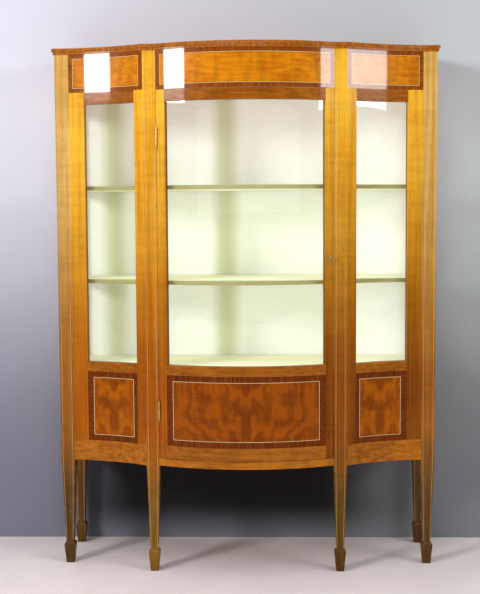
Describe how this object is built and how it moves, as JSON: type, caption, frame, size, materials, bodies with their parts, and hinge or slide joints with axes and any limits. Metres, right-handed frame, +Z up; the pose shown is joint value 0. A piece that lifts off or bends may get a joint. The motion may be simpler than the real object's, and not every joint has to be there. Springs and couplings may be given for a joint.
{
  "type": "display cabinet",
  "caption": "Serpentine-fronted glazed display cabinet on tapered legs, with an opening bowed door, lined shelves and a cupboard below.",
  "frame": {"origin": "on the floor, under the middle of the cabinet's outer box", "axes": "+Z up, the door faces -Y, +X to the right of someone facing the door"},
  "size_m": [1.252, 0.43, 1.7],
  "materials": {
    "post_satinwood": "french polished satinwood",
    "stile_satinwood": "french polished satinwood",
    "rail_satinwood": "french polished satinwood",
    "frieze_veneer": "polished satinwood veneer, crossbanded",
    "panel_veneer": "polished figured veneer, crossbanded",
    "top_mahogany": "polished mahogany",
    "carcase_wood": "plain, unpolished",
    "shelf_cloth": "cream-green cloth over board",
    "lining_cloth": "cream-green cloth over card",
    "bead_wood": "polished",
    "brass": "lacquered",
    "key_steel": "worn",
    "window_glass": "clear, 3 mm, bent to the frames"
  },
  "bodies": {
    "case": {"inner_front_leg_left": "post_satinwood", "inner_front_leg_right": "post_satinwood", "outer_front_leg_left": "post_satinwood", "outer_front_leg_right": "post_satinwood", "back_leg_left": "post_satinwood", "back_leg_right": "post_satinwood", "flank_inner_stile_left": "stile_satinwood", "flank_inner_stile_right": "stile_satinwood", "flank_outer_stile_left": "stile_satinwood", "flank_outer_stile_right": "stile_satinwood", "flank_top_rail_left": "rail_satinwood", "flank_top_rail_right": "rail_satinwood", "flank_middle_rail_left": "rail_satinwood", "flank_middle_rail_right": "rail_satinwood", "end_middle_rail_left": "rail_satinwood", "end_middle_rail_right": "rail_satinwood", "base_rail_centre": "rail_satinwood", "base_rail_left": "rail_satinwood", "base_rail_right": "rail_satinwood", "end_base_rail_left": "rail_satinwood", "end_base_rail_right": "rail_satinwood", "frieze_centre": "frieze_veneer", "frieze_left": "frieze_veneer", "frieze_right": "frieze_veneer", "end_frieze_left": "frieze_veneer", "end_frieze_right": "frieze_veneer", "flank_panel_left": "panel_veneer", "flank_panel_right": "panel_veneer", "end_panel_left": "panel_veneer", "end_panel_right": "panel_veneer", "top_board": "top_mahogany", "case_bottom_board": "carcase_wood", "back_top_rail": "carcase_wood", "back_base_rail": "carcase_wood", "back_panel": "carcase_wood", "display_floor": "shelf_cloth", "lower_shelf": "shelf_cloth", "upper_shelf": "shelf_cloth", "back_lining": "lining_cloth", "flank_glass_left": "window_glass", "flank_glass_right": "window_glass", "end_glass_left": "window_glass", "end_glass_right": "window_glass", "flank_glazing_beads": "bead_wood", "end_glazing_beads": "bead_wood", "hinge_post_leaves": "brass", "shelf_bearers": "carcase_wood"},
    "door": {"door_hinge_stile": "stile_satinwood", "door_lock_stile": "stile_satinwood", "door_top_rail": "rail_satinwood", "door_middle_rail": "rail_satinwood", "door_bottom_rail": "rail_satinwood", "door_panel": "panel_veneer", "door_glass": "window_glass", "door_glazing_beads": "bead_wood", "hinge_door_leaves": "brass", "lock_case": "brass", "escutcheon": "brass"},
    "key": {"key": "key_steel"},
    "lock_bolt": {"lock_bolt": "brass"}
  },
  "joints": [
    {"name": "door_swing", "type": "hinge", "parent": "case", "child": "door", "pos_m": [-0.28125, -0.149, 0.9675], "axis": [0, 0, -1], "range_deg": [0, 110]},
    {"name": "key_turn", "type": "hinge", "parent": "door", "child": "key", "pos_m": [0.2695, -0.15, 1.02], "axis": [0, 1, 0], "range_deg": [0, 360]},
    {"name": "bolt_slide", "type": "slide", "parent": "door", "child": "lock_bolt", "axis": [1, 0, 0], "range_m": [0, 0.007]}
  ],
  "couplings": [
    {"joint": "bolt_slide", "follows": "key_turn", "m_per_rad": 0.001114}
  ]
}
